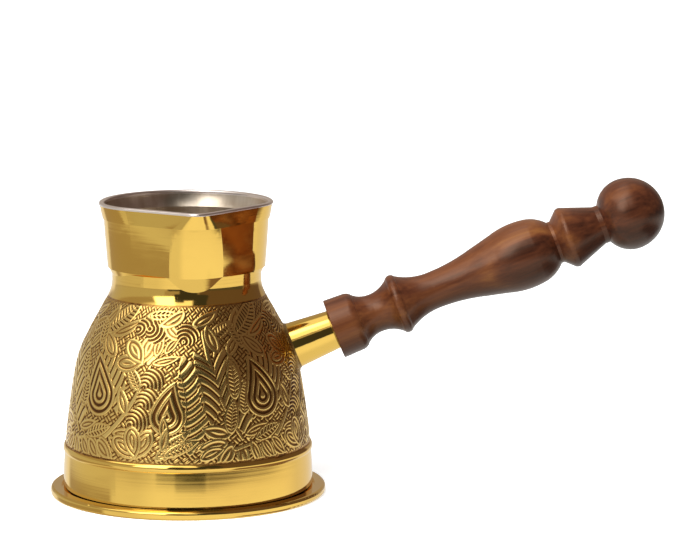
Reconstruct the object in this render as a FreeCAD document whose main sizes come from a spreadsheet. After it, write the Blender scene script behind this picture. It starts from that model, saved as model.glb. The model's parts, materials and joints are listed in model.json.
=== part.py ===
"""Turkish coffee pot (cezve): spun brass vessel with a pressed beak, and a turned wooden handle.

Millimetres. +Z is up and the pot stands on Z = 0, with its axis on the Z axis. The handle lies
in the XZ plane and points to +X, rising as it goes. The beak points to -Y, turned a little to +X.

Every part that lies along the handle is drawn upright, with its own Z axis as the handle's axis
and its own Z = 0 at the wooden face that meets the socket, and is then laid along the handle.
"""
import FreeCAD, Part
import math
import os

import Sketcher
from FreeCAD import Placement, Rotation, Vector

# ---------------------------------------------------------------- driving dimensions

DIMENSIONS = {
    # sheet metal
    "wall": 1.4,
    "tin_thickness": 0.25,
    "plate_thickness": 0.9,
    # foot: a flat flange on the shell, held by the folded edge of the base plate
    "foot_radius": 50.6,
    "foot_height": 3.2,
    "foot_rounding": 1.1,
    "flange_radius": 49.7,
    "flange_top": 2.3,
    "hem_radius": 46.7,
    "solder_leg": 1.6,
    "floor_bevel": 1.9,
    # plain skirt above the foot, and the raised bead that ends it
    "skirt_radius": 45.9,
    "skirt_curve": 200.0,
    "bead_foot": 16.15,
    "bead_foot_radius": 45.4,
    "bead_top": 19.0,
    "bead_top_radius": 45.3,
    "bead_curve": 2.3,
    # belly: two arcs and a straight shoulder, up to the neck
    "belly_foot_radius": 45.1,
    "waist_height": 46.8,
    "waist_radius": 41.25,
    "lower_curve": 297.0,
    "shoulder_height": 60.4,
    "shoulder_radius": 36.27,
    "upper_curve": 44.2,
    "band_depth": 0.5,
    # round neck, which goes on up inside the foot of the collar
    "throat_height": 74.0,
    "throat_radius": 28.8,
    "throat_curve": 11.6,
    "neck_height": 79.6,
    "neck_radius": 27.3,
    "neck_top": 83.6,
    # collar at each level: height, radius of the round back, distance of the beak's tip from the
    # axis, radius of the turn into the flank, and radius of the beak's nose
    "under_height": 76.8,
    "under_radius": 25.15,
    "under_tip": 26.65,
    "under_flank": 22.0,
    "under_nose": 12.0,
    "under_top_height": 84.3,
    "under_top_radius": 28.45,
    "under_top_tip": 30.1,
    "under_top_flank": 24.5,
    "under_top_nose": 12.5,
    "collar_low_height": 84.3,
    "collar_low_radius": 28.85,
    "collar_low_tip": 34.2,
    "collar_low_flank": 25.5,
    "collar_low_nose": 13.5,
    "collar_height": 93.5,
    "collar_radius": 29.55,
    "collar_tip": 34.9,
    "collar_flank": 26.0,
    "collar_nose": 13.5,
    "collar_top_height": 102.2,
    "collar_top_radius": 30.15,
    "collar_top_tip": 35.2,
    "collar_top_flank": 25.5,
    "collar_top_nose": 12.5,
    "flare_low_height": 102.2,
    "flare_low_radius": 30.55,
    "flare_low_tip": 35.6,
    "flare_low_flank": 25.5,
    "flare_low_nose": 12.5,
    "flare_height": 104.6,
    "flare_radius": 31.1,
    "flare_tip": 36.1,
    "flare_flank": 24.0,
    "flare_nose": 9.0,
    "flare_turn": 6.4,
    "lip_height": 107.2,
    "lip_radius": 31.6,
    "lip_tip": 36.7,
    "lip_flank": 22.5,
    "lip_nose": 5.5,
    "lip_turn": 6.9,
    "rim_height": 108.2,
    "brass_rounding": 0.5,
    "rim_rounding": 0.75,
    "beak_turn": 6.0,
    # where the handle meets the socket, and how steeply it rises, in degrees
    "face_reach": 53.85,
    "face_height": 60.05,
    "handle_rise": 21.2,
    # brass socket, its plug and its brazing
    "socket_radius": 7.25,
    "socket_foot_radius": 8.85,
    "socket_length": 20.0,
    "socket_wall": 1.2,
    "plug_length": 9.5,
    "plug_foot_radius": 6.81,
    "plug_bore": 3.05,
    "plug_lead": 0.4,
    "braze_top": 15.7,
    "braze_top_radius": 8.506,
    "braze_edge": 17.0,
    "braze_edge_radius": 9.9,
    "braze_curve": 2.2,
    # steel hanger bolt and its washer
    "stud_radius": 3.0,
    "stud_reach": 11.6,
    "stud_chamfer": 0.8,
    "stud_depth": 30.0,
    "stud_taper": 4.0,
    "stud_point": 0.5,
    "washer_radius": 6.3,
    "washer_bore": 3.3,
    "washer_thickness": 1.0,
    # turned grip: places along its axis are measured from its face
    "pocket_radius": 6.6,
    "pilot_depth": 31.0,
    "face_radius": 10.8,
    "face_rounding": 0.4,
    "ferrule_radius": 11.2,
    "ferrule_end_radius": 10.95,
    "ferrule_end": 7.4,
    "shoulder_end_radius": 9.75,
    "shoulder_end": 10.3,
    "shoulder_curve": 4.1,
    "quirk_radius": 9.5,
    "quirk_end": 10.4,
    "first_cove_radius": 7.22,
    "first_cove": 16.5,
    "first_cove_curve": 8.86,
    "bead_start_radius": 10.1,
    "bead_start": 23.95,
    "bead_cove_curve": 11.0,
    "bead_end_radius": 10.2,
    "bead_end": 27.65,
    "bead_nose_curve": 2.2,
    "waist_cove_radius": 6.87,
    "waist_cove": 39.2,
    "waist_cove_curve": 21.7,
    "swell_start_radius": 9.2,
    "swell_start": 56.8,
    "swell_start_curve": 67.6,
    "swell_side_radius": 11.15,
    "swell_side": 65.0,
    "swell_end_radius": 12.16,
    "swell_end": 79.35,
    "swell_curve": 31.0,
    "groove_radius": 8.0,
    "groove_start": 86.95,
    "groove_curve": 13.5,
    "groove_end": 88.1,
    "ridge_start_radius": 11.0,
    "ridge_start": 91.25,
    "ridge_end_radius": 11.2,
    "ridge_end": 93.75,
    "ridge_curve": 2.3,
    "cone_end_radius": 7.2,
    "cone_end": 104.6,
    "ball_start": 106.45,
    "ball_radius": 13.3,
    "ball_centre": 116.3,
    "ball_front_curve": 10.9,
    "grip_length": 129.6,
}

UNDER_LEVELS = ["under", "under_top"]
COLLAR_OUTSIDE = ["collar_low", "collar", "collar_top"]
COLLAR_INSIDE = ["under_top", "collar", "collar_top"]
FLARE_OUTSIDE = ["flare_low", "flare", "lip"]
FLARE_INSIDE = ["collar_top", "flare", "lip"]
LEVEL = 0.001  # how exactly an edge must lie level to be taken as level

doc = FreeCAD.newDocument("cezve")
sheet = doc.addObject("Spreadsheet::Sheet", "dims")


def fill_sheet():
    """Puts each driving dimension in the sheet, with its name as its alias."""
    for row, (name, value) in enumerate(DIMENSIONS.items(), start=1):
        sheet.set(f"A{row}", name)
        sheet.set(f"B{row}", str(value))
        sheet.setAlias(f"B{row}", name)
    doc.recompute()


# ---------------------------------------------------------------- helpers


def size(*names):
    """A length made of named sizes, as its value and its expression. "-" before a name subtracts."""
    value = 0.0
    expression = ""
    for name in names:
        sign = -1 if name.startswith("-") else 1
        plain = name.lstrip("-")
        value += sign * DIMENSIONS[plain]
        expression += f" {'-' if sign < 0 else '+'} dims.{plain}"
    return value, expression.strip(" +") or "0"


def minus(names):
    """The same names, to be taken away instead of added."""
    return [name[1:] if name.startswith("-") else "-" + name for name in names]


def new_body(label):
    body = doc.addObject("PartDesign::Body", label)
    body.Label = label
    return body


def new_sketch(body, name, role):
    """A sketch on one of the body's own origin planes."""
    sketch = body.newObject("Sketcher::SketchObject", name)
    plane = next(item for item in body.Origin.OriginFeatures if item.Role == role)
    sketch.AttachmentSupport = (plane, [""])
    sketch.MapMode = "FlatFace"
    return sketch


def bind(sketch, kind, places, name, length):
    """A named dimension of a sketch, driven by the sheet."""
    value, expression = length
    index = sketch.addConstraint(Sketcher.Constraint(kind, *places, value))
    sketch.renameConstraint(index, name)
    sketch.setExpression(f"Constraints.{name}", expression)


def place_point(sketch, geometry, end, corner, name):
    """Holds a sketch point at its radius and height. Zero puts it on the axis or the base line."""
    for kind, axis, length in (("DistanceX", -2, corner[0]), ("DistanceY", -1, corner[1])):
        if length[0] == 0:
            sketch.addConstraint(Sketcher.Constraint("PointOnObject", geometry, end, axis))
        else:
            bind(sketch, kind, (-1, 1, geometry, end), f"{name}_{kind[-1]}", length)


def arc_between(start, finish, radius, turn):
    """The short arc from start to finish. turn is 1 if it bends to the left, -1 to the right."""
    across = finish - start
    half = across.Length / 2
    left = Vector(-across.y, across.x, 0).normalize()
    centre = (start + finish) / 2 + left * (turn * math.sqrt(radius**2 - half**2))
    angles = [math.atan2(p.y - centre.y, p.x - centre.x) for p in (start, finish)]
    if turn < 0:
        angles.reverse()
    if angles[1] < angles[0]:
        angles[1] += 2 * math.pi
    return Part.ArcOfCircle(Part.Circle(centre, Vector(0, 0, 1), radius), *angles)


def arc_round(centre, radius, start, finish):
    """The arc about a centre, anticlockwise from one angle to another."""
    return Part.ArcOfCircle(Part.Circle(centre, Vector(0, 0, 1), radius), start, finish)


def outline(body, name, corners):
    """A closed outline in the XZ plane.

    Each corner is (radius, height), and a third item (curve radius, turn) makes the side that
    leaves it an arc. Lengths come from size().
    """
    sketch = new_sketch(body, name, "XZ_Plane")
    points = [Vector(corner[0][0], corner[1][0], 0) for corner in corners]
    ends = []
    for index, corner in enumerate(corners):
        start = points[index]
        finish = points[(index + 1) % len(points)]
        curve, turn = corner[2] if len(corner) > 2 else (None, 0)
        if curve:
            side = sketch.addGeometry(arc_between(start, finish, curve[0], turn))
            ends.append((side, 1, 2) if turn > 0 else (side, 2, 1))
        else:
            side = sketch.addGeometry(Part.LineSegment(start, finish))
            ends.append((side, 1, 2))
    for index, corner in enumerate(corners):
        side, first, last = ends[index]
        following, opening, _ = ends[(index + 1) % len(ends)]
        sketch.addConstraint(Sketcher.Constraint("Coincident", side, last, following, opening))
        place_point(sketch, side, first, corner, f"p{index}")
        if len(corner) > 2:
            bind(sketch, "Radius", (side,), f"curve{index}", corner[2][0])
    return sketch


def revolve(body, name, corners):
    """Turns a closed outline about the body's Z axis."""
    sketch = outline(body, name + "_outline", corners)
    turned = body.newObject("PartDesign::Revolution", name)
    turned.Profile = sketch
    turned.ReferenceAxis = (sketch, ["V_Axis"])
    turned.Angle = 360
    body.Tip = turned


def cut(label, base, tool):
    result = doc.addObject("Part::Cut", label)
    result.Label = label
    result.Base = base
    result.Tool = tool
    return result


def fuse(label, first, second):
    result = doc.addObject("Part::Fuse", label)
    result.Label = label
    result.Base = first
    result.Tool = second
    return result


def lay_along_handle(body):
    """Moves a part from its own upright axis to the handle's axis."""
    upright = 90 - DIMENSIONS["handle_rise"]
    start = Vector(DIMENSIONS["face_reach"], 0, DIMENSIONS["face_height"])
    body.Placement = Placement(start, Rotation(Vector(0, 1, 0), upright))
    body.setExpression("Placement.Base.x", "dims.face_reach")
    body.setExpression("Placement.Base.z", "dims.face_height")
    body.setExpression("Placement.Rotation.Angle", "90 - dims.handle_rise")


# ---------------------------------------------------------------- vessel


def level_sketch(body, level):
    """A level sketch at one height, turned so that the beak points along its own -Y."""
    sketch = new_sketch(body, f"{level}_section", "XY_Plane")
    turn_name = level + "_turn" if level + "_turn" in DIMENSIONS else "beak_turn"
    turn = Rotation(Vector(0, 0, 1), DIMENSIONS[turn_name])
    sketch.AttachmentOffset = Placement(Vector(0, 0, DIMENSIONS[level + "_height"]), turn)
    sketch.setExpression("AttachmentOffset.Base.z", f"dims.{level}_height")
    sketch.setExpression("AttachmentOffset.Rotation.Angle", f"dims.{turn_name}")
    return sketch


def join_ends(sketch, kind, names):
    """Joins each edge's end to the start of the next, all the way round."""
    for place, name in enumerate(names):
        following = names[(place + 1) % len(names)]
        sketch.addConstraint(Sketcher.Constraint(kind, name, 2, following, 1))


def beak_section(body, level, inset):
    """A level section of the collar: a round back, two flanks and the rounded nose of the beak."""
    sketch = level_sketch(body, level)
    less = minus(inset)
    back_size = size(level + "_radius", *less)
    flank_size = size(level + "_flank", *less)
    nose_size = size(level + "_nose", *less)
    nose_reach = size(level + "_tip", f"-{level}_nose")
    back, flank, nose = back_size[0], flank_size[0], nose_size[0]

    side = back - flank
    apart = math.hypot(side, nose_reach[0])
    lean = math.pi - math.atan2(nose_reach[0], side) - math.acos((flank - nose) / apart)
    right_turn = arc_round(Vector(side, 0, 0), flank, -lean, 0)
    left_turn = arc_round(Vector(-side, 0, 0), flank, math.pi, math.pi + lean)
    nose_arc = arc_round(Vector(0, -nose_reach[0], 0), nose, lean - math.pi, -lean)
    edges = [
        arc_round(Vector(0, 0, 0), back, 0, math.pi),
        left_turn,
        Part.LineSegment(left_turn.EndPoint, nose_arc.StartPoint),
        nose_arc,
        Part.LineSegment(nose_arc.EndPoint, right_turn.StartPoint),
        right_turn,
    ]
    names = [sketch.addGeometry(edge) for edge in edges]
    join_ends(sketch, "Tangent", names)
    back_edge, left_edge, _, nose_edge, _, right_edge = names
    sketch.addConstraint(Sketcher.Constraint("Coincident", back_edge, 3, -1, 1))
    sketch.addConstraint(Sketcher.Constraint("PointOnObject", back_edge, 1, -1))
    sketch.addConstraint(Sketcher.Constraint("PointOnObject", back_edge, 2, -1))
    sketch.addConstraint(Sketcher.Constraint("PointOnObject", nose_edge, 3, -2))
    bind(sketch, "Radius", (back_edge,), "back_size", back_size)
    bind(sketch, "Radius", (left_edge,), "left_size", flank_size)
    bind(sketch, "Radius", (right_edge,), "right_size", flank_size)
    bind(sketch, "Radius", (nose_edge,), "nose_size", nose_size)
    bind(sketch, "DistanceY", (nose_edge, 3, -1, 1), "nose_reach", nose_reach)
    return sketch


def loft(body, name, levels, inset):
    """A smooth stretch of the collar through its level sections."""
    sections = [beak_section(body, level, inset) for level in levels]
    stretch = body.newObject("PartDesign::AdditiveLoft", name)
    stretch.Profile = sections[0]
    stretch.Sections = [(section, [""]) for section in sections[1:]]
    stretch.Ruled = False
    body.Tip = stretch


def belly_corners(inset):
    """The belly's side, from the bead up to the throat."""
    less = minus(inset)
    return [
        (size("belly_foot_radius", *less), size("bead_top"), (size("lower_curve"), 1)),
        (size("waist_radius", *less), size("waist_height"), (size("upper_curve"), 1)),
        (size("shoulder_radius", *less), size("shoulder_height")),
    ]


def neck_corners(inset):
    """The neck's side, from the throat up, and its closed top on the axis."""
    less = minus(inset)
    return [
        (size("throat_radius", *less), size("throat_height"), (size("throat_curve"), -1)),
        (size("neck_radius", *less), size("neck_height")),
        (size("neck_radius", *less), size("neck_top")),
        (size(), size("neck_top")),
    ]


def outside_corners():
    """The outside of the shell, filled: flange, skirt, bead, the belly's engraved ground, neck."""
    return [
        (size(), size("plate_thickness")),
        (size("flange_radius"), size("plate_thickness")),
        (size("flange_radius"), size("flange_top")),
        (size("skirt_radius"), size("flange_top"), (size("skirt_curve"), 1)),
        (size("bead_foot_radius"), size("bead_foot"), (size("bead_curve"), 1)),
        (size("bead_top_radius"), size("bead_top")),
        *belly_corners(["band_depth"]),
        (size("throat_radius", "-band_depth"), size("throat_height")),
        *neck_corners([]),
    ]


def collar_and_lip(body, inset, collar_levels, flare_levels, top):
    """Undercut, collar and flare, and the lip above them as high as top."""
    loft(body, "under", UNDER_LEVELS, inset)
    loft(body, "collar", collar_levels, inset)
    loft(body, "flare", flare_levels, inset)
    lip_band(body, inset, top)


def lip_band(body, inset, top):
    """The upright band of the lip."""
    value, expression = size(*top, "-lip_height")
    band = body.newObject("PartDesign::Pad", "lip")
    band.Profile = beak_section(body, "lip", inset)
    band.Length = value
    band.setExpression("Length", expression)
    body.Tip = band


def vessel_outside():
    body = new_body("vessel_outside")
    revolve(body, "belly", outside_corners())
    collar_and_lip(body, [], COLLAR_OUTSIDE, FLARE_OUTSIDE, ["rim_height", "-tin_thickness"])
    return body


def vessel_cavity(label, inset, floor, bevel):
    """The space inside a vessel wall, as a solid. bevel cuts its bottom corner."""
    body = new_body(label)
    less = minus(inset)
    if bevel:
        corner = [
            (size("skirt_radius", *less, "-" + bevel), size(*floor)),
            (size("skirt_radius", *less), size(*floor, bevel)),
        ]
    else:
        corner = [(size("skirt_radius", *less), size(*floor))]
    sides = [*belly_corners(inset), *neck_corners(inset)]
    revolve(body, "belly", [(size(), size(*floor)), *corner, *sides])
    collar_and_lip(body, inset, COLLAR_INSIDE, FLARE_INSIDE, ["rim_height"])
    return body


def round_top(label, base, height, rounding):
    """Rounds the edges that lie level at a height."""
    doc.recompute()
    rounded = doc.addObject("Part::Fillet", label)
    rounded.Label = label
    rounded.Base = base
    rounded.Edges = [
        (number, rounding, rounding)
        for number, edge in enumerate(base.Shape.Edges, start=1)
        if abs(edge.BoundBox.ZMin - height) < LEVEL and abs(edge.BoundBox.ZMax - height) < LEVEL
    ]
    return rounded


def pot_body(outside, cavity):
    shell = cut("shell", outside, cavity)
    top = size("rim_height", "-tin_thickness")[0]
    return round_top("pot_body", shell, top, DIMENSIONS["brass_rounding"])


def tin_lining(pot, cavity, solder):
    """Tin over the inside of the shell, wrapped over its rim and the outside of its lip."""
    inset = ["wall", "tin_thickness"]
    inner = vessel_cavity("lining_cavity", inset, ["plate_thickness", "tin_thickness"], "floor_bevel")
    block = new_body("lip_block")
    lip_band(block, ["-tin_thickness"], ["rim_height"])
    ring = cut("lip_ring", block, inner)
    rounded = round_top("lip_rounded", ring, DIMENSIONS["rim_height"], DIMENSIONS["rim_rounding"])
    wrap = cut("lip_wrap", rounded, pot)
    skin = cut("lining_skin", cavity, inner)
    over_solder = cut("lining_over_solder", skin, solder)
    low = cut("lining_low", over_solder, block)
    return fuse("tin_lining", low, wrap)


def base_plate():
    """Flat disc whose edge is folded up, over the flange and inwards."""
    body = new_body("base_plate")
    rounding = size("foot_rounding")
    revolve(
        body,
        "plate",
        [
            (size(), size()),
            (size("foot_radius", "-foot_rounding"), size(), (rounding, 1)),
            (size("foot_radius"), size("foot_rounding")),
            (size("foot_radius"), size("foot_height", "-foot_rounding"), (rounding, 1)),
            (size("foot_radius", "-foot_rounding"), size("foot_height")),
            (size("hem_radius"), size("foot_height")),
            (size("hem_radius"), size("flange_top")),
            (size("flange_radius"), size("flange_top")),
            (size("flange_radius"), size("plate_thickness")),
            (size(), size("plate_thickness")),
        ],
    )
    return body


def base_solder():
    """Ring of solder in the corner between the base plate and the inside of the skirt."""
    body = new_body("base_solder")
    revolve(
        body,
        "fillet_ring",
        [
            (size("skirt_radius", "-wall", "-solder_leg"), size("plate_thickness")),
            (size("skirt_radius", "-wall"), size("plate_thickness")),
            (size("bead_foot_radius", "-wall", "tin_thickness"), size("plate_thickness", "solder_leg")),
        ],
    )
    return body


# ---------------------------------------------------------------- socket and fixings


def belly_core():
    """The belly's outside as a filled solid, for shaping what is brazed to it."""
    body = new_body("belly_core")
    revolve(body, "core", outside_corners())
    return body


def handle_socket(core):
    """Tapered tube, cut to the curve of the belly."""
    body = new_body("socket_blank")
    revolve(
        body,
        "tube",
        [
            (size("socket_radius", "-socket_wall"), size()),
            (size("socket_foot_radius", "-socket_wall"), size("-socket_length")),
            (size("socket_foot_radius"), size("-socket_length")),
            (size("socket_radius"), size()),
        ],
    )
    lay_along_handle(body)
    return cut("handle_socket", body, core)


def socket_braze(core):
    """Bead of brazing metal round the socket's foot."""
    body = new_body("braze_blank")
    revolve(
        body,
        "bead",
        [
            (size("socket_foot_radius"), size("-socket_length")),
            (size("braze_edge_radius"), size("-socket_length")),
            (size("braze_edge_radius"), size("-braze_edge"), (size("braze_curve"), -1)),
            (size("braze_top_radius"), size("-braze_top")),
        ],
    )
    lay_along_handle(body)
    return cut("socket_braze", body, core)


def socket_nut():
    """Tapered brass plug with a tapped bore, flush with the socket's end."""
    body = new_body("socket_nut")
    revolve(
        body,
        "plug",
        [
            (size("plug_bore"), size("-plug_length")),
            (size("plug_foot_radius"), size("-plug_length")),
            (size("socket_radius", "-socket_wall"), size()),
            (size("plug_bore", "plug_lead"), size()),
            (size("plug_bore"), size("-plug_lead")),
        ],
    )
    lay_along_handle(body)
    return body


def handle_stud():
    """Hanger bolt: a machine thread towards the pot and a wood thread into the grip."""
    body = new_body("handle_stud")
    revolve(
        body,
        "bolt",
        [
            (size(), size("-stud_reach")),
            (size("stud_radius", "-stud_chamfer"), size("-stud_reach")),
            (size("stud_radius"), size("-stud_reach", "stud_chamfer")),
            (size("stud_radius"), size("stud_depth", "-stud_taper")),
            (size("stud_point"), size("stud_depth")),
            (size(), size("stud_depth")),
        ],
    )
    lay_along_handle(body)
    return body


def seat_washer():
    """Flat washer sunk in the face of the grip, which bears on the socket's plug."""
    body = new_body("seat_washer")
    revolve(
        body,
        "washer",
        [
            (size("washer_bore"), size()),
            (size("washer_radius"), size()),
            (size("washer_radius"), size("washer_thickness")),
            (size("washer_bore"), size("washer_thickness")),
        ],
    )
    lay_along_handle(body)
    return body


def handle_grip():
    """Turned grip: ferrule end, bead, long swell, ridged cone and ball, with its pilot hole."""
    body = new_body("handle_grip")
    revolve(
        body,
        "turning",
        [
            (size("pocket_radius"), size()),
            (size("face_radius"), size(), (size("face_rounding"), 1)),
            (size("ferrule_radius"), size("face_rounding")),
            (size("ferrule_end_radius"), size("ferrule_end"), (size("shoulder_curve"), 1)),
            (size("shoulder_end_radius"), size("shoulder_end")),
            (size("quirk_radius"), size("quirk_end"), (size("first_cove_curve"), -1)),
            (size("first_cove_radius"), size("first_cove"), (size("bead_cove_curve"), -1)),
            (size("bead_start_radius"), size("bead_start"), (size("bead_nose_curve"), 1)),
            (size("bead_end_radius"), size("bead_end"), (size("waist_cove_curve"), -1)),
            (size("waist_cove_radius"), size("waist_cove"), (size("swell_start_curve"), -1)),
            (size("swell_start_radius"), size("swell_start")),
            (size("swell_side_radius"), size("swell_side"), (size("swell_curve"), 1)),
            (size("swell_end_radius"), size("swell_end"), (size("groove_curve"), 1)),
            (size("groove_radius"), size("groove_start")),
            (size("groove_radius"), size("groove_end")),
            (size("ridge_start_radius"), size("ridge_start"), (size("ridge_curve"), 1)),
            (size("ridge_end_radius"), size("ridge_end")),
            (size("cone_end_radius"), size("cone_end")),
            (size("cone_end_radius"), size("ball_start"), (size("ball_front_curve"), 1)),
            (size("ball_radius"), size("ball_centre"), (size("ball_radius"), 1)),
            (size(), size("grip_length")),
            (size(), size("pilot_depth")),
            (size("stud_radius"), size("pilot_depth")),
            (size("stud_radius"), size("washer_thickness")),
            (size("pocket_radius"), size("washer_thickness")),
        ],
    )
    lay_along_handle(body)
    return body


# ---------------------------------------------------------------- checks and files


def check_model(parts):
    doc.recompute()
    for item in doc.Objects:
        if {"Invalid", "Error"} & set(item.State):
            raise RuntimeError(f"{item.Label} failed: {item.State}")
    for part in parts:
        shape = part.Shape
        if shape.isNull() or not shape.isValid():
            raise RuntimeError(f"{part.Label} has no valid shape")
        if len(shape.Solids) != 1:
            raise RuntimeError(f"{part.Label} has {len(shape.Solids)} solids")
        box = shape.BoundBox
        print(
            f"{part.Label:14s} volume {shape.Volume:10.1f}  "
            f"x {box.XMin:7.2f} {box.XMax:7.2f}  y {box.YMin:7.2f} {box.YMax:7.2f}  "
            f"z {box.ZMin:7.2f} {box.ZMax:7.2f}"
        )


def write_parts(parts):
    os.makedirs("parts", exist_ok=True)
    for part in parts:
        part.Shape.exportStep(f"parts/{part.Label}.step")


fill_sheet()
shell_cavity = vessel_cavity("shell_cavity", ["wall"], ["plate_thickness"], None)
pot = pot_body(vessel_outside(), shell_cavity)
solder = base_solder()
core = belly_core()
sub_parts = [
    pot,
    base_plate(),
    solder,
    tin_lining(pot, shell_cavity, solder),
    handle_socket(core),
    socket_braze(core),
    socket_nut(),
    handle_stud(),
    seat_washer(),
    handle_grip(),
]
check_model(sub_parts)
write_parts(sub_parts)
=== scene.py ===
"""Looks of a Turkish coffee pot: polished brass with an engraved belly, tinned inside, wooden handle.

Metres, in the same frame as the CAD model: Z up, the pot's axis on Z, the handle towards +X.
"View azimuth" below is an angle round the pot, in degrees, from the side that faces the camera,
growing towards the handle.
"""
import json
import math

import bpy
import numpy as np
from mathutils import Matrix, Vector


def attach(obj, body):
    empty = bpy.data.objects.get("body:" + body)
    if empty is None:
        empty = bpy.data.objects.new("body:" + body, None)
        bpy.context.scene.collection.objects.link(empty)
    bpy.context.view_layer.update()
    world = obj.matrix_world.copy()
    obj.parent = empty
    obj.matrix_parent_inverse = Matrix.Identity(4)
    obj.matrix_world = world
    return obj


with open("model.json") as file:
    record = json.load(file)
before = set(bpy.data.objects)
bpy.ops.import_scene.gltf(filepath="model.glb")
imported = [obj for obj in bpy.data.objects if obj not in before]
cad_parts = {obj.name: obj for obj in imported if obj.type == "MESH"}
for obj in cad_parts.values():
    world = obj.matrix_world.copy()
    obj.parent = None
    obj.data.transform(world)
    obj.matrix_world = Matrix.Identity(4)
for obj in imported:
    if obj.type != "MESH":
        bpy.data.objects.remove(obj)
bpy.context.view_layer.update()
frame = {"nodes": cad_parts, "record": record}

MM = 0.001
NODES = frame["nodes"]
JOINT = next(joint for joint in frame["record"]["behaviour"]["joints"] if joint["type"] == "hinge")
HANDLE_START = Vector(JOINT["pos_m"])
HANDLE_AXIS = Vector(JOINT["axis"]).normalized()

# ---------------------------------------------------------------- camera


CAMERA_PLACE = Vector((-0.0083, -1.2476, 0.2742))
CAMERA_HEADING = 3.1  # degrees to the right of +Y
CAMERA_PITCH = 8.86  # degrees down
CAMERA_LENS = 178.0
FRONT = math.degrees(math.atan2(CAMERA_PLACE.y, CAMERA_PLACE.x))


def add_camera():
    """A long lens from the front, a little above."""
    data = bpy.data.cameras.new("camera")
    data.lens = CAMERA_LENS
    data.sensor_width = 36
    data.clip_end = 50
    camera = bpy.data.objects.new("camera", data)
    bpy.context.scene.collection.objects.link(camera)
    camera.location = CAMERA_PLACE
    turn = (90 - CAMERA_PITCH, 0, -CAMERA_HEADING)
    camera.rotation_euler = [math.radians(angle) for angle in turn]
    bpy.context.scene.camera = camera


# ---------------------------------------------------------------- node helpers


class Tree:
    """A short way to build a node tree: most calls add a node and give back its first output."""

    def __init__(self, tree):
        self.tree = tree
        self.tree.nodes.clear()

    def node(self, kind, settings=None, **inputs):
        """Adds a node and gives back the node itself. "_" in an input's name stands for a space."""
        made = self.tree.nodes.new(kind)
        for name, value in (settings or {}).items():
            setattr(made, name, value)
        for name, value in inputs.items():
            self.feed(made, name.replace("_", " "), value)
        return made

    def feed(self, node, name, value):
        """Sets an input, by its name or its number, to a constant or to another node's output."""
        socket = node.inputs[name]
        if isinstance(value, bpy.types.NodeSocket):
            self.tree.links.new(value, socket)
        else:
            socket.default_value = value

    def math(self, operation, *values, clamp=False):
        made = self.tree.nodes.new("ShaderNodeMath")
        made.operation = operation
        made.use_clamp = clamp
        for number, value in enumerate(values):
            self.feed(made, number, value)
        return made.outputs[0]

    def vector(self, operation, *values):
        made = self.tree.nodes.new("ShaderNodeVectorMath")
        made.operation = operation
        for number, value in enumerate(values):
            self.feed(made, number, value)
        return made.outputs[0]

    def mix(self, share, first, second):
        """Mixes two colours."""
        made = self.tree.nodes.new("ShaderNodeMix")
        made.data_type = "RGBA"
        for number, value in ((0, share), (6, first), (7, second)):
            self.feed(made, number, value)
        return made.outputs[2]

    def step(self, value, low, high):
        """Rises smoothly from 0 at low to 1 at high."""
        made = self.tree.nodes.new("ShaderNodeMapRange")
        made.interpolation_type = "SMOOTHSTEP"
        for number, number_value in enumerate((value, low, high, 0.0, 1.0)):
            self.feed(made, number, number_value)
        return made.outputs[0]

    def noise(self, place, scale, detail=3.0, roughness=0.5):
        made = self.node("ShaderNodeTexNoise", Vector=place, Scale=scale, Detail=detail)
        made.inputs["Roughness"].default_value = roughness
        return made.outputs[0]

    def stretched(self, place, scales):
        """Coordinates squeezed along each axis, to draw a pattern out."""
        return self.vector("MULTIPLY", place, scales)

    def ramp(self, value, stops):
        made = self.tree.nodes.new("ShaderNodeValToRGB")
        self.feed(made, 0, value)
        elements = made.color_ramp.elements
        while len(elements) < len(stops):
            elements.new(0.5)
        for element, (place, colour) in zip(elements, stops):
            element.position = place
            element.color = (*colour, 1)
        return made.outputs[0]

    def bump(self, height, distance, strength=1.0):
        made = self.node("ShaderNodeBump", Height=height, Distance=distance, Strength=strength)
        return made.outputs[0]


def new_material(name):
    """A material, its tree, its main shader and the place coordinates in the object's own space."""
    material = bpy.data.materials.new(name)
    material.use_nodes = True
    tree = Tree(material.node_tree)
    shader = tree.node("ShaderNodeBsdfPrincipled")
    out = tree.node("ShaderNodeOutputMaterial")
    tree.feed(out, "Surface", shader.outputs[0])
    place = tree.node("ShaderNodeTexCoord").outputs["Object"]
    return material, tree, shader, place


def shade_smooth(data):
    """Shades all of a mesh's faces smooth."""
    data.polygons.foreach_set("use_smooth", np.ones(len(data.polygons), bool))


# ---------------------------------------------------------------- metals


BRASS = (0.90, 0.60, 0.135)
BRASS_WARM = (0.86, 0.55, 0.125)
BRASS_RUBBED_AND_SHEEN = (0.92, 0.66, 0.22)  # pale, where the raised work is rubbed, and a painted highlight there
BRASS_DULL = (0.76, 0.48, 0.13)
BRASS_BROWN = (0.40, 0.20, 0.055)
PATINA = (0.13, 0.052, 0.013)
TIN_GREY = (0.60, 0.50, 0.39)
TIN_PALE = (0.76, 0.67, 0.56)
TIN_SMEAR = (0.62, 0.54, 0.45)
# painted highlight: the pale pinkish white that the rolled lip catches from the light
TIN_LIP_HIGHLIGHT = (0.92, 0.84, 0.80)
LIP_HIGHLIGHT_START = (0.1066, 0.1071)  # heights between which the tin turns from the inside to the lip, where a highlight is painted on


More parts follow.
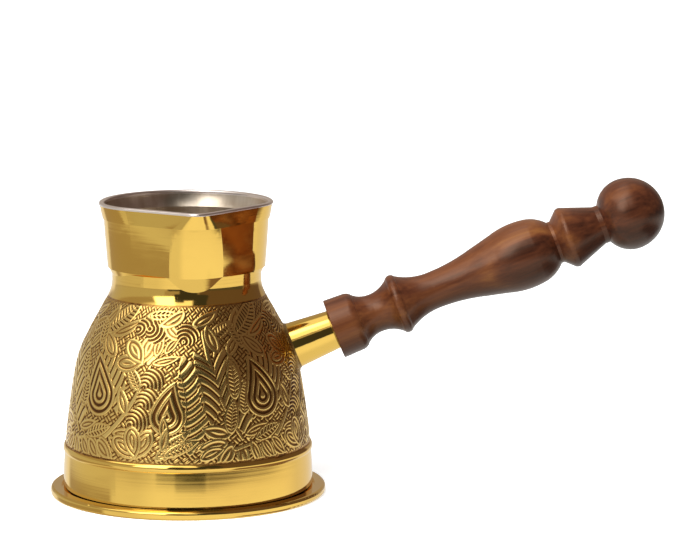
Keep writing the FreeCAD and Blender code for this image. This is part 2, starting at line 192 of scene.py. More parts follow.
def polished_brass(name, roughness=0.07, waviness=1.0):
    """Buffed brass: almost a mirror, with faint spinning lines and slow waves from the beating."""
    material, tree, shader, place = new_material(name)
    shader.inputs["Metallic"].default_value = 1.0
    cloud = tree.noise(place, 28.0, 4.0)
    smear = tree.noise(tree.stretched(place, (1, 1, 5)), 60.0, 3.0)
    tint = tree.mix(tree.step(cloud, 0.35, 0.7), (*BRASS, 1), (*BRASS_WARM, 1))
    tree.feed(shader, "Base Color", tint)
    haze = tree.math("MULTIPLY_ADD", tree.step(smear, 0.45, 0.8), 0.07, roughness)
    tree.feed(shader, "Roughness", haze)
    spun = tree.noise(tree.stretched(place, (6, 6, 900)), 1.0, 2.0)
    waves = tree.noise(place, 45.0, 1.0)
    fine = tree.bump(spun, 0.000012)
    slow = tree.node("ShaderNodeBump", Height=waves, Distance=0.00012 * waviness)
    tree.feed(slow, "Normal", fine)
    tree.feed(shader, "Normal", slow.outputs[0])
    return material


def engraved_brass():
    """Brass that is pale on the raised work, rubbed there and with a painted highlight, and brown where
    the cuts are narrow, with patina and painted shade.
    """
    material, tree, shader, place = new_material("engraved_brass")
    shader.inputs["Metallic"].default_value = 1.0
    cut = tree.node("ShaderNodeAttribute", {"attribute_name": "cut_shade"}).outputs["Fac"]
    stain = tree.noise(place, 90.0, 4.0, 0.6)
    # cut_shade carries patina and painted shade in the cuts and on the sunk ground
    dark = tree.math("MULTIPLY_ADD", stain, 0.30, tree.math("SUBTRACT", cut, 0.12), clamp=True)
    # the pale end is rubbed brass with a painted highlight on the raised work
    colour = tree.ramp(
        dark,
        [(0.0, BRASS_RUBBED_AND_SHEEN), (0.3, BRASS_DULL), (0.65, BRASS_BROWN), (1.0, PATINA)],
    )
    tree.feed(shader, "Base Color", colour)
    tree.feed(shader, "Roughness", tree.math("MULTIPLY_ADD", dark, 0.2, 0.2))
    chased = tree.noise(place, 2600.0, 2.0)
    tree.feed(shader, "Normal", tree.bump(chased, 0.00004, 0.5))
    return material


def tinned():
    """Wiped tin: satin, with soft upright streaks, and a painted highlight, pale pinkish white, where
    it wraps over the lip.
    """
    material, tree, shader, place = new_material("wiped_tin")
    shader.inputs["Metallic"].default_value = 1.0
    streak = tree.noise(tree.stretched(place, (1, 1, 0.12)), 160.0, 4.0, 0.6)
    smear = tree.noise(place, 55.0, 3.0)
    grey = tree.mix(tree.step(streak, 0.35, 0.7), (*TIN_GREY, 1), (*TIN_PALE, 1))
    inside = tree.mix(tree.step(smear, 0.5, 0.8), grey, (*TIN_SMEAR, 1))
    height = tree.node("ShaderNodeSeparateXYZ", Vector=place).outputs["Z"]
    # the lip gets a painted highlight
    lip = tree.step(height, *LIP_HIGHLIGHT_START)
    tree.feed(shader, "Base Color", tree.mix(lip, inside, (*TIN_LIP_HIGHLIGHT, 1)))
    tree.feed(shader, "Roughness", tree.math("MULTIPLY_ADD", streak, 0.18, 0.22))
    tree.feed(shader, "Normal", tree.bump(streak, 0.00006, 0.6))
    return material


def rough_metal(name, colour, roughness, grain):
    """Metal that is seen little: solder, brazing, turned brass and plated steel."""
    material, tree, shader, place = new_material(name)
    shader.inputs["Metallic"].default_value = 1.0
    speckle = tree.noise(place, grain, 4.0, 0.6)
    deep = tuple(0.6 * share for share in colour)
    tree.feed(shader, "Base Color", tree.mix(tree.step(speckle, 0.3, 0.7), (*deep, 1), (*colour, 1)))
    tree.feed(shader, "Roughness", tree.math("MULTIPLY_ADD", speckle, 0.25, roughness))
    tree.feed(shader, "Normal", tree.bump(speckle, 0.00005, 0.8))
    return material


# ---------------------------------------------------------------- wood


def along_handle(tree, place):
    """Object coordinates turned so that Z runs along the handle, from its seat on the socket."""
    moved = tree.vector("SUBTRACT", place, tuple(HANDLE_START))
    turned = tree.node("ShaderNodeVectorRotate", {"rotation_type": "Y_AXIS"}, Vector=moved)
    turned.inputs["Angle"].default_value = -HANDLE_AXIS.angle(Vector((0, 0, 1)))
    return turned.outputs[0]


# the handle's own coordinates: Z along it from its seat on the socket, -Y towards the beak's side
DARK_REFLECTION_PLACE = (0.0015, -0.0115, 0.0765)  # middle of the painted reflection of the dark room: a dark patch on the swell
DARK_REFLECTION_SQUEEZE = (1.25, 0.9, 0.72)  # makes it longer along the handle than round it
SHADED_END = (0.086, 0.100)  # from the groove on, painted shade darkens the wood: the cone and the ball, at the end away from the light


def lacquered_wood():
    """Red-brown hardwood under a thin satin lacquer, with a painted reflection of the dark room on the
    swell, a dark patch in a paler ring of grain, and painted shade that darkens the cone and the ball.
    """
    material, tree, shader, place = new_material("lacquered_wood")
    axial = along_handle(tree, place)
    drift = tree.noise(tree.stretched(axial, (30, 30, 7)), 1.0, 2.0)
    warp = tree.node("ShaderNodeCombineXYZ", X=tree.math("MULTIPLY", drift, 0.005)).outputs[0]
    figure = tree.noise(tree.stretched(tree.vector("ADD", axial, warp), (210, 210, 12)), 1.0, 3.0)
    streak = tree.noise(tree.stretched(axial, (900, 900, 30)), 1.0, 4.0, 0.6)
    pores = tree.noise(tree.stretched(axial, (2400, 2400, 90)), 1.0, 2.0)
    cloud = tree.noise(tree.stretched(axial, (60, 60, 18)), 1.0, 2.0)
    grain = tree.math("MULTIPLY_ADD", streak, 0.25, tree.math("MULTIPLY", figure, 0.4))
    grain = tree.math("MULTIPLY_ADD", cloud, 0.35, grain)
    away = tree.stretched(tree.vector("SUBTRACT", axial, DARK_REFLECTION_PLACE), DARK_REFLECTION_SQUEEZE)
    reach = tree.node("ShaderNodeVectorMath", {"operation": "LENGTH"})
    tree.feed(reach, 0, away)
    ragged = tree.math("MULTIPLY_ADD", cloud, 0.006, reach.outputs["Value"])
    # painted reflection of the dark room: a dark patch on the swell; the paler ring round it is grain
    dark_reflection = tree.step(ragged, 0.0145, 0.0085)
    halo = tree.math("MULTIPLY", tree.step(ragged, 0.0115, 0.0145), tree.step(ragged, 0.0185, 0.0145))
    grain = tree.math("MULTIPLY_ADD", dark_reflection, -0.10, grain)
    grain = tree.math("MULTIPLY_ADD", halo, 0.10, grain)
    along = tree.node("ShaderNodeSeparateXYZ", Vector=axial).outputs["Z"]
    # painted shade over the cone and the ball
    grain = tree.math("MULTIPLY_ADD", tree.step(along, *SHADED_END), -0.11, grain)
    colour = tree.ramp(
        grain,
        [
            (0.32, (0.022, 0.0055, 0.0028)),
            (0.44, (0.066, 0.0180, 0.0072)),
            (0.55, (0.118, 0.0370, 0.0120)),
            (0.70, (0.200, 0.0760, 0.0200)),
        ],
    )
    dark_pores = tree.step(pores, 0.62, 0.76)
    colour = tree.mix(tree.math("MULTIPLY", dark_pores, 0.25), colour, (0.030, 0.009, 0.003, 1))
    tree.feed(shader, "Base Color", colour)
    tree.feed(shader, "Roughness", tree.math("MULTIPLY_ADD", streak, 0.1, 0.29))
    shader.inputs["Specular IOR Level"].default_value = 0.6
    shader.inputs["Specular Tint"].default_value = (1.0, 0.66, 0.46, 1)
    shader.inputs["Coat Weight"].default_value = 0.15
    shader.inputs["Coat Roughness"].default_value = 0.18
    tree.feed(shader, "Normal", tree.bump(tree.math("SUBTRACT", streak, dark_pores), 0.00002, 0.5))
    return material


# ---------------------------------------------------------------- engraved belly


BELLY = [
    # radius, height, and the curve to the next point: its radius and which way it bulges
    (45.1, 19.0, 297.0, 1),
    (41.25, 46.8, 44.2, 1),
    (36.27, 60.4, 0, 0),
    (28.8, 74.0, 0, 0),
]
BAND_COLUMNS = 1120  # cells round the pot
BAND_ROWS = 250  # cells up the belly
BACK_ROWS = 24  # cells up the plain back
BAND_BACK = -0.62  # the plain back, in mm from the belly's outer skin
EDGE_GAP = 0.02  # how far the band stays clear of the bead and of the throat, in mm
GROUND = -0.22  # the sunk ground, in mm from the outer skin
RIM = 0.5  # half the width of a motif's outer ridge, in mm
SOFT_EDGE = 0.3  # how far a motif's edge fades into the ground, in mm
LEAF_CUT = 0.6  # how deep a leaf's own cuts go, as a share of the ground's depth
FEATHER_SWEEP = 1.05  # how far a feather's strokes sweep back, in strokes
FEATHER_CURVE = 1.35  # how much more they sweep far from the rib
RING_PITCH = 1.6  # from one outline in a leaf to the next, in mm
VEIN_SLANT = 2.2  # how far a leaf's veins sweep forward, in strokes
VEIN_CUT = 0.84  # how deep its veins are cut, as a share of the ground's depth
WEAVE = 2.5  # side of one block of the basket weave, in mm
WEAVE_RADIUS = 40.0  # the belly's radius that the weave is laid out for, in mm
WEAVE_HEIGHT = 0.62  # how far its strokes stand up, as a share of the ground's depth
CUT_PATINA_AND_SHADE = 0.7  # how dark narrow cuts get: patina in them, and painted shade
GROUND_PATINA_AND_SHADE = 0.45  # how much darker the sunk ground gets: patina, and painted shade


def side_points(start, finish, radius, bulge, count):
    """Points along one side of the belly's outline, leaving out its last."""
    start = np.array(start)
    finish = np.array(finish)
    share = np.linspace(0, 1, count, endpoint=False)[:, None]
    if not radius:
        return start + (finish - start) * share
    across = finish - start
    half = np.linalg.norm(across) / 2
    outward = np.array([across[1], -across[0]]) / (2 * half)
    centre = (start + finish) / 2 - outward * bulge * math.sqrt(radius**2 - half**2)
    first = math.atan2(*(start - centre)[::-1])
    last = math.atan2(*(finish - centre)[::-1])
    turn = (last - first + math.pi) % (2 * math.pi) - math.pi
    angle = first + turn * share[:, 0]
    return centre + radius * np.column_stack([np.cos(angle), np.sin(angle)])


def belly_profile(rows):
    """Evenly spaced points up the belly: radius, height, outward normal and length, in mm."""
    points = [
        side_points(low[:2], high[:2], low[2], low[3], 80) for low, high in zip(BELLY, BELLY[1:])
    ]
    points = np.vstack([*points, [BELLY[-1][:2]]])
    steps = np.linalg.norm(np.diff(points, axis=0), axis=1)
    length = np.concatenate([[0], np.cumsum(steps)])
    places = np.linspace(EDGE_GAP, length[-1] - EDGE_GAP, rows)
    radius = np.interp(places, length, points[:, 0])
    height = np.interp(places, length, points[:, 1])
    slope = np.gradient(np.column_stack([radius, height]), axis=0)
    slope = slope / np.linalg.norm(slope, axis=1)[:, None]
    normal = np.column_stack([slope[:, 1], -slope[:, 0]])
    return radius, height, normal, places


def rise(value, low, high):
    """Rises smoothly from 0 at low to 1 at high, cell by cell."""
    share = np.clip((value - low) / (high - low), 0, 1)
    return share * share * (3 - 2 * share)


class Relief:
    """The height of the engraving over the belly, unrolled: rows up the belly, columns round it."""

    def __init__(self):
        self.radius, self.height, self.normal, self.length = belly_profile(BAND_ROWS)
        self.angle = np.arange(BAND_COLUMNS) * 360 / BAND_COLUMNS
        self.level = self.ground()

    def ground(self):
        """Sunk ground, chased in a slanted basket weave of short strokes."""
        angle, radius = np.meshgrid(np.radians(self.angle), np.full(BAND_ROWS, WEAVE_RADIUS))
        x = angle * radius
        y = np.repeat(self.length[:, None], BAND_COLUMNS, axis=1)
        x, y = 0.8 * x + 0.6 * y, 0.8 * y - 0.6 * x
        column, row = np.floor(x / WEAVE), np.floor(y / WEAVE)
        across = (column + row) % 2 == 0
        stroke = np.where(across, x, y) / WEAVE
        dash = np.abs(np.sin(2 * math.pi * stroke))
        end = np.where(across, y, x) / WEAVE
        fade = np.abs(np.sin(math.pi * end)) ** 0.4
        return GROUND * (1 - WEAVE_HEIGHT * dash * fade)

    def near(self, azimuth, height, reach):
        """Grid cells within reach of a place, and their local coordinates in mm: right and up."""
        here = np.interp(height, self.height, self.length)
        rows = np.nonzero(np.abs(self.length - here) < reach)[0]
        local_radius = self.radius[rows]
        away = (self.angle - (FRONT + azimuth) + 180) % 360 - 180
        span = math.degrees(reach / max(local_radius.min(), 1))
        columns = np.nonzero(np.abs(away) < span)[0]
        x = np.radians(away[columns])[None, :] * local_radius[:, None]
        y = np.repeat((self.length[rows] - here)[:, None], len(columns), axis=1)
        return rows, columns, x, y

    def lay(self, rows, columns, mask, level):
        """Lays a motif over what is there, as far as its mask covers it."""
        window = np.ix_(rows, columns)
        self.level[window] += mask * (level - self.level[window])


def spine_distance(x, y, spine, widths):
    """For each cell: distance outside the outline, place along the spine, and signed side offset."""
    outside = np.full(x.shape, np.inf)
    closest = np.full(x.shape, np.inf)
    place = np.zeros(x.shape)
    side = np.zeros(x.shape)
    last = len(spine) - 1
    pitch = np.linalg.norm(spine[1] - spine[0])
    along = np.gradient(spine, axis=0)
    along /= np.linalg.norm(along, axis=1)[:, None]
    for number, (point, width, forward) in enumerate(zip(spine, widths, along)):
        dx = x - point[0]
        dy = y - point[1]
        gap = np.hypot(dx, dy)
        outside = np.minimum(outside, gap - width)
        nearer = gap < closest
        closest = np.where(nearer, gap, closest)
        ahead = np.clip((forward[0] * dx + forward[1] * dy) / pitch, -0.5, 0.5)
        place = np.where(nearer, (number + ahead) / last, place)
        side = np.where(nearer, forward[0] * dy - forward[1] * dx, side)
    return outside, place, side


def bent_spine(length, turn, bend, count=36):
    """A spine from the origin: turn is its heading from upright, clockwise; bend is what it adds."""
    share = np.linspace(0, 1, count)
    heading = np.radians(turn + bend * share)
    steps = np.column_stack([np.sin(heading), np.cos(heading)]) * length / (count - 1)
    return np.vstack([[0, 0], np.cumsum(steps[:-1], axis=0)]), share


def leaf(relief, azimuth, height, length, width, turn, bend=0.0, veins=0.0, point=0.8):
    """A leaf from its stalk: a raised rim round a middle ridge, or round slanted veins.

    point above 1 puts its widest place towards its tip.
    """
    spine, share = bent_spine(length, turn, bend)
    widths = 0.5 * width * np.sin(math.pi * share**point) ** 0.8
    rows, columns, x, y = relief.near(azimuth, height, length + width)
    outside, place, side = spine_distance(x, y, spine, widths)
    rings = 2 * (0.5 * width - RIM) / max(round((width - 2 * RIM) / RING_PITCH), 1)
    level = LEAF_CUT * nested(outside + RIM, rings)
    if veins:
        slant = place * veins * 2 - VEIN_SLANT * np.abs(side) / width
        strokes = VEIN_CUT * GROUND * (0.5 - 0.5 * np.cos(2 * math.pi * slant))
        inner = rise(-outside, RIM, RIM + 0.5)
        level = level * (1 - inner) + np.maximum(strokes, -0.4 * np.abs(side)) * inner
    relief.lay(rows, columns, rise(-outside, -SOFT_EDGE, 0.0), level)


def nested(distance, pitch):
    """Narrow ridges at an even pitch, with wider hollows between them."""
    wave = 0.5 + 0.5 * np.cos(2 * math.pi * distance / pitch)
    return GROUND * (1 - wave**1.3)


def boteh(relief, azimuth, height, length, width, turn, bend, pitch=1.9):
    """A paisley drop from its round end: outlines nested one in the other, and a seed."""
    spine, share = bent_spine(length - width / 2, turn, bend, 48)
    widths = 0.5 * width * (1 - share) ** 0.85
    rows, columns, x, y = relief.near(azimuth, height, length + width)
    outside, _, _ = spine_distance(x, y, spine, widths)
    relief.lay(rows, columns, rise(-outside, -SOFT_EDGE, 0.0), nested(outside + RIM, pitch))


def crest(relief, azimuth, height, length, width, turn, bend, strokes, lean=0.5):
    """A feathered band along a curve: long curved strokes on one side of its rib, short on the other.

    lean is how far the rib lies off the middle, as a share of half the width, to the left.
    """
    spine, share = bent_spine(length, turn, bend, 48)
    half = 0.5 * width * np.sin(math.pi * np.clip(share, 0.05, 0.97)) ** 0.6
    rows, columns, x, y = relief.near(azimuth, height, length + width)
    outside, place, side = spine_distance(x, y, spine, half)
    off = side / (0.5 * width) - lean
    feather = place * strokes - FEATHER_SWEEP * np.abs(off) ** FEATHER_CURVE
    feather = feather - np.floor(feather)
    ridge = GROUND * (1 - np.sin(math.pi * feather) ** 1.1)
    rib = -0.5 * np.abs(off) * width / 2
    scallop = 0.8 * np.abs(feather - 0.5)
    relief.lay(rows, columns, rise(-outside - scallop, -SOFT_EDGE, 0.1), np.maximum(ridge, rib))


def lobe(relief, azimuth, height, size, turn, pitch=1.45):
    """Half a palmette: arcs nested about its foot, opening the way it is turned."""
    rows, columns, x, y = relief.near(azimuth, height, size * 1.4)
    angle = math.radians(turn)
    up = x * math.sin(angle) + y * math.cos(angle)
    across = x * math.cos(angle) - y * math.sin(angle)
    outside = np.hypot(across * 1.15, up - size * 0.45) - size * 0.55
    far = np.hypot(across * 1.1, up * 0.95)
    relief.lay(rows, columns, rise(-outside, -SOFT_EDGE, 0.0), nested(far - size + RIM, pitch))


def stem(relief, azimuth, height, length, turn, bend, width=1.1):
    """A rounded stalk."""
    spine, share = bent_spine(length, turn, bend, 60)
    widths = 0.5 * width * (1 - 0.45 * share)
    rows, columns, x, y = relief.near(azimuth, height, length + 2)
    outside, _, _ = spine_distance(x, y, spine, widths)
    level = -0.02 + GROUND * rise(outside, -0.1, 0.35)
    relief.lay(rows, columns, rise(-outside, -0.45, -0.1), level)


def trefoil(relief, azimuth, height, size, turn, spread=52.0):
    """Three petals from one point."""
    for side in (-1, 1, 0):
        leaf(relief, azimuth, height, size, size * 0.6, turn + side * spread, side * 14, point=1.35)


def draw_unit(relief, centre, stretch):
    """One repeat of the pattern. centre is the view azimuth of its big paisley drop."""

    def at(offset):
        return centre + offset * stretch

    # stalks first: leaves lie over them
    stem(relief, at(-20), 24.0, 16, 76, 6, 1.4)
    stem(relief, at(1), 26.0, 36, 52, -44, 1.7)
    stem(relief, at(25), 54.5, 15, 40, 26, 1.5)
    stem(relief, at(56), 65.0, 42, 178, -32, 1.6)

    # big drop leaning left, feathered down its right side, and the hooked leaf over its tip
    crest(relief, at(10), 38.0, 25, 9.5, -6, -44, 8, 0.7)
    boteh(relief, at(-3), 41.8, 23.5, 15.6, -8, -14, 2.3)
    leaf(relief, at(3), 56.0, 12.1, 5.8, -50, 22)
    leaf(relief, at(-19), 42.0, 14.3, 5.5, 4, -12, 5)

    # half palmettes up the right of the long stalk, leaves on its left
    lobe(relief, at(23.5), 46.0, 9.0, 52)
    lobe(relief, at(22.0), 39.0, 9.0, 52)
    lobe(relief, at(17.0), 32.5, 9.0, 58)
    leaf(relief, at(15), 36.0, 10.5, 4.5, -26, 14)
    leaf(relief, at(21), 45.0, 9.9, 4.5, -24, -18, 4)
    trefoil(relief, at(22), 54.0, 11.0, -40, 46)
    leaf(relief, at(29), 57.0, 8.2, 3.8, 6, 14)
    leaf(relief, at(34), 58.0, 8.2, 3.5, 30, 14)
    leaf(relief, at(27), 54.5, 11.0, 3.5, 82, -14)

    # second drop, with small drops in it and feathers under it
    crest(relief, at(47), 24.5, 33, 11.5, 14, -36, 9, 0.5)
    boteh(relief, at(36), 36.0, 19.5, 13.0, 0, 26, 2.4)
    leaf(relief, at(35), 28.0, 8.5, 3.6, -4, 0)
    crest(relief, at(51), 57.5, 25, 8.0, 156, 26, 7, -0.6)
    crest(relief, at(63), 60.0, 34, 10.5, 166, -6, 9, 0.55)
    leaf(relief, at(72), 47.0, 11.0, 5.2, -20, 22, 4)

    # foot of the band: fern, flower, long leaves
    for offset, foot, lean in ((-12, 26.5, 152), (-6, 27.0, 140), (0, 27.0, 132), (6, 27.5, 126)):
        leaf(relief, at(offset), foot, 10.5, 3.6, lean, 14)
    leaf(relief, at(-9), 27.0, 12.7, 5.2, 66, 10, 4)
    leaf(relief, at(8), 29.0, 10.5, 3.8, 84, 10)
    trefoil(relief, at(21), 20.4, 11.6, -12, 34)
    leaf(relief, at(31), 20.6, 16.0, 4.5, 44, 12, 6)
    leaf(relief, at(35), 22.0, 13.8, 4.0, 62, 8, 5)
    leaf(relief, at(34), 24.0, 8.8, 3.2, 8, 10)
    for offset, foot, lean in ((66, 29.5, -82), (64, 26.5, -106), (67, 25.5, -150), (71, 25.5, 165)):
        leaf(relief, at(offset), foot, 10.5, 5.0, lean, 12)
    for offset, lean in ((77, 150), (83, 146), (89, 140)):
        leaf(relief, at(offset), 25.5, 8.8, 4.5, lean, -14)
    leaf(relief, at(52), 21.0, 9.4, 4.2, 58, 20)
    leaf(relief, at(74), 29.0, 10.5, 3.8, 76, -8)

    # shoulder: a swept leaf, palmettes and hooks under the neck
    leaf(relief, at(-12), 64.0, 17.6, 8.0, 58, -34, 6)
    leaf(relief, at(-4), 63.0, 14.3, 4.5, 72, -30)
    lobe(relief, at(14), 65.5, 8.0, 76)
    leaf(relief, at(18), 70.0, 13.2, 4.0, 78, 18, 4)
    lobe(relief, at(22), 66.0, 7.3, 120)
    leaf(relief, at(33), 68.0, 9.9, 4.2, 158, -60)
    leaf(relief, at(44), 72.0, 11.0, 4.5, 215, 50)
    lobe(relief, at(44), 62.0, 8.3, 30)
    leaf(relief, at(50), 67.5, 10.5, 4.5, 74, -30)
    leaf(relief, at(59), 62.0, 12.7, 5.2, 46, 22, 5)
    leaf(relief, at(63), 58.5, 10.5, 4.8, -24, 20)
    leaf(relief, at(69), 57.0, 9.4, 4.2, 26, 22)
    leaf(relief, at(74), 65.0, 9.9, 4.5, 40, -30)
    leaf(relief, at(79), 59.5, 10.5, 4.8, -10, -20, 4)

    # leaves between this repeat and the next
    leaf(relief, at(-22), 30.0, 12.1, 5.5, 4, 12, 5)
    leaf(relief, at(74), 36.5, 12.1, 5.5, 12, -12, 5)


def engraving():
    """The whole belly's relief, in mm from the belly's outer skin."""
    relief = Relief()
    for centre, stretch in ((-46, 1.0), (43, 1.02), (135, 1.0), (224, 1.0)):
        draw_unit(relief, centre, stretch)
    share = relief.level / GROUND
    relief.level = GROUND * rise(share, 0.02, 0.98)
    top = rise(relief.length, relief.length[-1] - 0.9, relief.length[-1] - 0.4)[:, None]
    foot = rise(-relief.length, -0.9, -0.4)[:, None]
    edge = np.maximum(top, foot)
    relief.level = relief.level * (1 - edge) + GROUND * edge
    return relief


def spread_level(level, reach):
    """The relief averaged over a square of cells; the columns close round the pot."""
    steps = range(-reach, reach + 1)
    total = sum(np.roll(level, step, axis=1) for step in steps) / len(steps)
    padded = np.pad(total, ((reach, reach), (0, 0)), mode="edge")
    rows = len(level)
    return sum(padded[reach + step : reach + step + rows] for step in steps) / len(steps)


def face_normals(places):
    """Unit normals of the carved face, from its grid of places."""
    up = np.gradient(places, axis=0)
    around = np.roll(places, -1, axis=1) - np.roll(places, 1, axis=1)
    normal = np.cross(around, up)
    return normal / np.linalg.norm(normal, axis=2)[:, :, None]


def carved_face(relief):
    """Places of the carved face and of its plain back, in mm, and the face's normals."""
    angle = np.radians(relief.angle)
    around = np.column_stack([np.cos(angle), np.sin(angle)])
    radius = relief.radius[:, None] + relief.level * relief.normal[:, :1]
    height = relief.height[:, None] + relief.level * relief.normal[:, 1:]
    front = np.dstack([radius * around[:, 0], radius * around[:, 1], height])
    back_rows = np.linspace(0, BAND_ROWS - 1, BACK_ROWS).astype(int)
    back_radius = relief.radius[back_rows][:, None] + BAND_BACK
    back_height = np.repeat(relief.height[back_rows][:, None], BAND_COLUMNS, axis=1)
    back = np.dstack([back_radius * around[:, 0], back_radius * around[:, 1], back_height])
    return front, back, face_normals(front)


def skin_mesh(name, face, shade, first, last):
    """A closed skin over part of the belly: the carved face, and a plain back sunk in the pot."""
    columns = np.arange(first, last + 1) % BAND_COLUMNS
    front, back, normals = (grid[:, columns] for grid in face)
    places = np.vstack([front.reshape(-1, 3), back.reshape(-1, 3)]) * MM
    rows, wide = front.shape[:2]
    ahead = np.arange(rows * wide).reshape(rows, wide)
    behind = rows * wide + np.arange(back.shape[0] * wide).reshape(-1, wide)
    quads = [grid_quads(ahead, False), grid_quads(behind, True)]
    quads.append(grid_quads(np.vstack([behind[:1], ahead[:1]]), False))
    quads.append(grid_quads(np.vstack([ahead[-1:], behind[-1:]]), False))
    faces = [tuple(face) for face in np.vstack(quads)]
    for column, order in ((0, 1), (-1, -1)):
        side = [*ahead[:, column], *behind[::-1, column]]
        faces.append(tuple(side[::order]))
    data = bpy.data.meshes.new(name)
    data.from_pydata(places.tolist(), [], faces)
    depth = np.concatenate([shade[:, columns].ravel(), np.ones(behind.size)])
    layer = data.attributes.new("cut_shade", "FLOAT", "POINT")
    layer.data.foreach_set("value", depth.astype(np.float32))
    shade_smooth(data)
    inward = -normals[:: max(rows // back.shape[0], 1)][: back.shape[0]]
    data.normals_split_custom_set_from_vertices(
        np.vstack([normals.reshape(-1, 3), inward.reshape(-1, 3)]).tolist()
    )
    return data


def grid_quads(grid, flipped):
    """The four corners of each cell of a grid of points, in one turning sense or the other."""
    corners = [grid[:-1, :-1], grid[:-1, 1:], grid[1:, 1:], grid[1:, :-1]]
    if flipped:
        corners.reverse()
    return np.stack([corner.ravel() for corner in corners], axis=1)


def add_engraving():
    """Four quarters of the engraved band, darkened by "cut_shade" in narrow cuts and on the ground:
    patina, with painted shade.
    """
    relief = engraving()
    hollow = spread_level(relief.level, 3) - relief.level
    # patina and painted shade in narrow cuts and on the sunk ground
    shade = rise(hollow, -0.005, 0.08) * CUT_PATINA_AND_SHADE
    shade = shade + rise(relief.level / GROUND, 0.4, 1.0) * GROUND_PATINA_AND_SHADE
    face = carved_face(relief)
    quarter = BAND_COLUMNS // 4
    material = engraved_brass()
    for number, name in enumerate(("east", "north", "west", "south")):
        first = int((number - 0.5) * quarter)
        data = skin_mesh(f"engraving_{name}", face, shade, first, first + quarter)
        piece = bpy.data.objects.new(data.name, data)
        bpy.context.scene.collection.objects.link(piece)
        piece.data.materials.append(material)
        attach(piece, "pot")


# ---------------------------------------------------------------- finishes on the CAD pieces


def dress(node, material):
    """Gives a CAD piece its finish."""
    piece = NODES[node]
    piece.data.materials.clear()
    piece.data.materials.append(material)


def dress_all():
    """Each CAD piece's finish."""
    brass = polished_brass("polished_brass")
    dress("pot_body", brass)
    dress("base_plate", brass)
    dress("handle_socket", polished_brass("socket_brass", 0.06, 0.4))
    dress("tin_lining", tinned())
    dress("handle_grip", lacquered_wood())
    dress("socket_braze", rough_metal("brazing", (0.55, 0.36, 0.12), 0.3, 900.0))
    dress("base_solder", rough_metal("solder", (0.5, 0.5, 0.5), 0.4, 500.0))
    dress("socket_nut", rough_metal("turned_brass", (0.78, 0.54, 0.2), 0.2, 700.0))
    steel = rough_metal("plated_steel", (0.62, 0.62, 0.6), 0.22, 800.0)
    dress("handle_stud", steel)
    dress("seat_washer", steel)


# ---------------------------------------------------------------- studio


def pale_floor():
    """The floor that everything stands on. Metal mirrors the studio's walls and table instead."""
    side = 4.0
    data = bpy.data.meshes.new("floor")
    corners = [(-side, -side, 0), (side, -side, 0), (side, side, 0), (-side, side, 0)]
    data.from_pydata(corners, [], [(0, 1, 2, 3)])
    floor = bpy.data.objects.new("floor", data)
    bpy.context.scene.collection.objects.link(floor)
    material, _, shader, _ = new_material("floor")
    shader.inputs["Base Color"].default_value = (0.94, 0.94, 0.94, 1)
    shader.inputs["Roughness"].default_value = 0.9
    shader.inputs["Specular IOR Level"].default_value = 0.0
    shader.inputs["Emission Color"].default_value = (1, 1, 1, 1)
    shader.inputs["Emission Strength"].default_value = 0.56
    data.materials.append(material)
    floor.visible_glossy = False
    floor.visible_diffuse = False


def soft_panel(tree, azimuth, height, sides, soft):
    """1 inside a range of view azimuth and height angle, in degrees, with soft edges."""
    left, right, low, high = sides
    inside = tree.step(azimuth, left - soft, left + soft)
    inside = tree.math("MULTIPLY", inside, tree.step(azimuth, right + soft, right - soft))
    inside = tree.math("MULTIPLY", inside, tree.step(height, low - soft, low + soft))
    return tree.math("MULTIPLY", inside, tree.step(height, high + soft, high - soft))


WHITE = (1.0, 0.98, 0.94)
BROWN = (1.0, 0.86, 0.72)
UMBER = (1.0, 0.68, 0.58)
PANELS = [
    # sides in degrees from the camera's side and from level: left, right, low, high; then how
    # soft the edge is, in degrees, how bright, and which tint
    (-190, 190, -100, -30, 3, 0.92, WHITE),
    (-76, 190, -100, -6, 3, 0.86, WHITE),
    (-38, 110, -40, -6, 12, 1.06, WHITE),
    (-150, -70, -10, -5, 1, 0.68, WHITE),
    (-150, -34, -5, 17, 3, 0.54, WHITE),
    (18, 142, -6, 100, 3, 0.14, UMBER),
    (-30, 94, -6, 1, 1.5, 0.09, WHITE),
    (-92, -50, 36, 62, 5, 1.7, WHITE),
    (-52, -18, 16, 80, 3, 3.4, WHITE),
    (-20, 6, 38, 80, 3, 1.5, WHITE),
    (-20, -5, 8, 36, 1.5, 0.05, WHITE),
    (-12, 16, -7, 29, 2, 0.05, WHITE),
    (-4, 9, 32, 56, 1.5, 1.4, WHITE),
    (10, 33, 12, 52, 1.5, 0.05, WHITE),
    (46, 130, -48, -21, 4, 0.24, UMBER),
    (-170, -80, -80, -36, 6, 0.55, BROWN),
    (-190, -142, -36, 0, 5, 0.9, WHITE),
    (-190, -50, 60, 100, 4, 1.1, WHITE),
]
ROOM = 0.42  # how bright the room is between the panels
FLOOR_LIGHT = 0.07  # what matt surfaces get from below
SKY_LIGHT = 0.46  # how much more they get from above


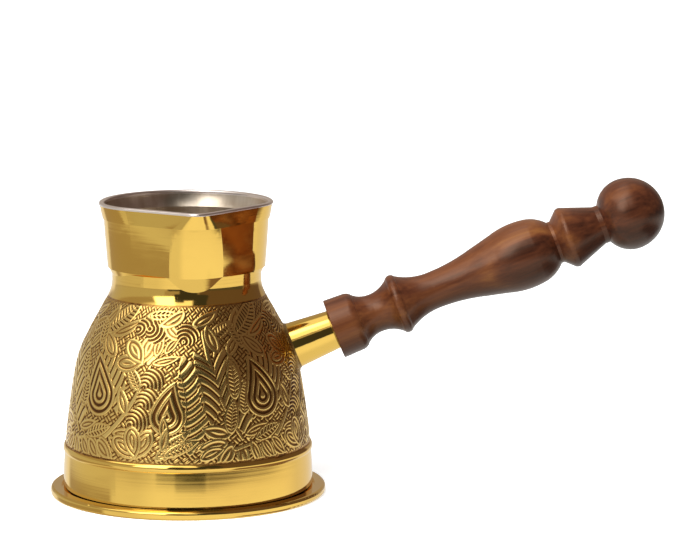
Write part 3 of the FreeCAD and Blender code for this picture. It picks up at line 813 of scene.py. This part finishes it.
def studio_world():
    """Metal mirrors soft panels in a dim room, matt surfaces get a plain sky, the camera sees white."""
    world = bpy.data.worlds.new("studio")
    bpy.context.scene.world = world
    world.use_nodes = True
    tree = Tree(world.node_tree)
    heading = tree.node("ShaderNodeTexCoord").outputs["Generated"]
    x, y, z = tree.node("ShaderNodeSeparateXYZ", Vector=heading).outputs
    turn = tree.math("SUBTRACT", tree.math("ARCTAN2", y, x), math.radians(FRONT))
    turn = tree.math("WRAP", turn, math.pi, -math.pi)
    azimuth = tree.math("MULTIPLY", turn, 180 / math.pi)
    height = tree.math("MULTIPLY", tree.math("ARCSINE", z), 180 / math.pi)
    light = tuple(ROOM * share for share in BROWN) + (1,)
    for left, right, low, high, soft, bright, tint in PANELS:
        inside = soft_panel(tree, azimuth, height, (left, right, low, high), soft)
        light = tree.mix(inside, light, tuple(bright * share for share in tint) + (1,))
    rays = tree.node("ShaderNodeLightPath").outputs
    sky = tree.math("MULTIPLY_ADD", tree.step(z, -0.4, 0.5), SKY_LIGHT, FLOOR_LIGHT)
    mirrored = tree.node("ShaderNodeBackground", Color=light, Strength=1.0)
    diffuse = tree.node("ShaderNodeBackground", Color=(1, 1, 1, 1), Strength=sky)
    seen = tree.node("ShaderNodeBackground", Color=(1, 1, 1, 1), Strength=1.0)
    soft = tree.node("ShaderNodeMixShader", Fac=rays["Is Diffuse Ray"])
    tree.feed(soft, 1, mirrored.outputs[0])
    tree.feed(soft, 2, diffuse.outputs[0])
    choice = tree.node("ShaderNodeMixShader", Fac=rays["Is Camera Ray"])
    tree.feed(choice, 1, soft.outputs[0])
    tree.feed(choice, 2, seen.outputs[0])
    out = tree.node("ShaderNodeOutputWorld")
    tree.feed(out, "Surface", choice.outputs[0])


def area_light(name, place, target, size, power):
    """A square soft light that faces its target."""
    data = bpy.data.lights.new(name, "AREA")
    data.shape = "RECTANGLE"
    data.size, data.size_y = size
    data.energy = power
    light = bpy.data.objects.new(name, data)
    bpy.context.scene.collection.objects.link(light)
    light.location = place
    light.rotation_euler = (Vector(target) - Vector(place)).to_track_quat("-Z", "Y").to_euler()
    return light


def add_lights():
    """One large soft light from the left front, above. Metal mirrors the panels in its stead."""
    middle = (0.04, 0, 0.06)
    key = area_light("key_light", (-0.65, -0.9, 1.15), middle, (1.1, 1.1), 43)
    key.visible_glossy = False


def set_colour_handling():
    """Colours as they are, with no film look."""
    view = bpy.context.scene.view_settings
    view.view_transform = "Standard"
    view.look = "None"


# ---------------------------------------------------------------- the scene


add_camera()
set_colour_handling()
studio_world()
add_lights()
pale_floor()
dress_all()
add_engraving()
